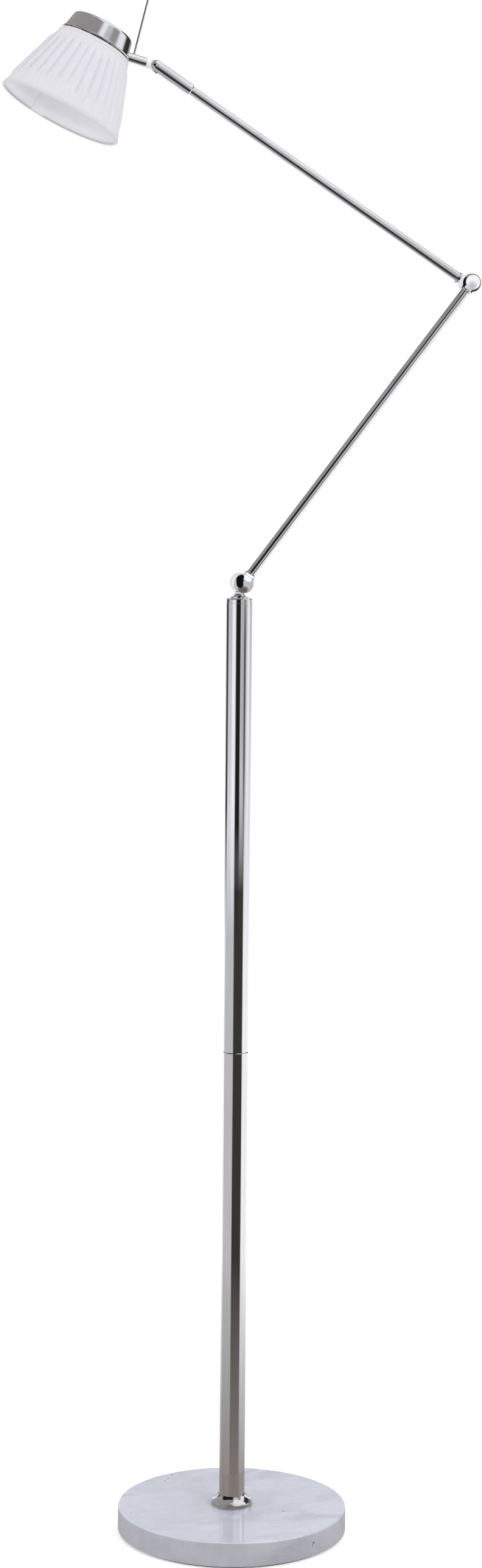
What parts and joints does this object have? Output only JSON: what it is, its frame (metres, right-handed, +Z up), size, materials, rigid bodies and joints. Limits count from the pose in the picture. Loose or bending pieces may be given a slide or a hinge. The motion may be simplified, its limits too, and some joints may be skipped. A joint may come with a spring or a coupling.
{
  "type": "adjustable arm floor lamp",
  "caption": "Floor lamp with a marble disc base, a nickel pole, friction-jointed arms that fold and swivel, and a tilting pleated fabric shade.",
  "frame": {"origin": "centre of the felt's underside, where the lamp stands on the floor", "axes": "+Z up the pole, +X to the elbow in the plane of the arms, +Y to the cord outlet"},
  "size_m": [0.5149, 0.252, 1.6897],
  "materials": {
    "marble": "polished white marble, faint grey veins",
    "felt": "matte felt",
    "rubber": "moulded rubber",
    "zinc_steel": "zinc plated steel",
    "pole_nickel": "polished nickel plate on steel tube",
    "chrome": "polished chrome plate",
    "bolt_steel": "bright steel socket head bolt",
    "washer_nylon": "natural nylon",
    "white_nylon": "moulded white nylon",
    "porcelain": "unglazed white porcelain",
    "bulb_glass": "frosted glass",
    "shade_wire": "white painted wire",
    "shade_liner": "smooth white styrene sheet",
    "shade_fabric": "white knife-pleated cotton"
  },
  "bodies": {
    "stand": {"marble_base": "marble", "base_felt_pad": "felt", "cord_bush": "rubber", "clamp_washer": "zinc_steel", "clamp_nut": "zinc_steel", "tie_tube": "zinc_steel", "base_collar": "chrome", "pole_foot_plug": "zinc_steel", "lower_pole_tube": "pole_nickel", "lower_pole_insert": "zinc_steel", "pole_stud": "zinc_steel", "upper_pole_insert": "zinc_steel", "upper_pole_tube": "pole_nickel", "pole_cap": "pole_nickel", "swivel_washer": "washer_nylon"},
    "swivel": {"swivel_neck": "chrome", "swivel_spring_washer": "zinc_steel", "swivel_nut": "zinc_steel", "pole_joint_rear_ball": "chrome", "pole_joint_friction_washer": "washer_nylon", "pole_joint_spring_washer": "zinc_steel"},
    "lower_arm": {"pole_joint_front_ball": "chrome", "pole_joint_bolt": "bolt_steel", "lower_arm_tube": "chrome", "elbow_front_ball": "chrome", "elbow_bolt": "bolt_steel"},
    "upper_arm": {"elbow_rear_ball": "chrome", "elbow_friction_washer": "washer_nylon", "elbow_spring_washer": "zinc_steel", "upper_arm_tube": "chrome", "arm_fork": "chrome", "tilt_pin": "chrome"},
    "head": {"head_knuckle": "white_nylon", "head_stub": "chrome", "aiming_rod": "chrome", "head_post": "zinc_steel", "shade_cap": "chrome", "cap_screw": "chrome", "lampholder_nipple": "zinc_steel", "lampholder": "porcelain", "lampholder_ring": "white_nylon", "bulb_glass": "bulb_glass", "bulb_plug": "porcelain", "bulb_pins": "zinc_steel", "shade_fitter": "shade_wire", "shade_bottom_ring": "shade_wire", "shade_liner": "shade_liner", "shade_cover": "shade_fabric", "shade_top_band": "shade_fabric", "shade_bottom_band": "shade_fabric"}
  },
  "joints": [
    {"name": "arm_swivel", "type": "hinge", "parent": "stand", "child": "swivel", "pos_m": [0, 0, 1.0245], "axis": [0, 0, 1], "range_deg": [-170, 170]},
    {"name": "lower_arm_pivot", "type": "hinge", "parent": "swivel", "child": "lower_arm", "pos_m": [0, 0, 1.041], "axis": [0, -1, 0], "range_deg": [-45, 60]},
    {"name": "elbow_pivot", "type": "hinge", "parent": "lower_arm", "child": "upper_arm", "pos_m": [0.24884, 0, 1.3618], "axis": [0, -1, 0], "range_deg": [-65, 55]},
    {"name": "head_tilt", "type": "hinge", "parent": "upper_arm", "child": "head", "pos_m": [-0.09434, 0, 1.57875], "axis": [0, -1, 0], "range_deg": [-75, 60]}
  ]
}
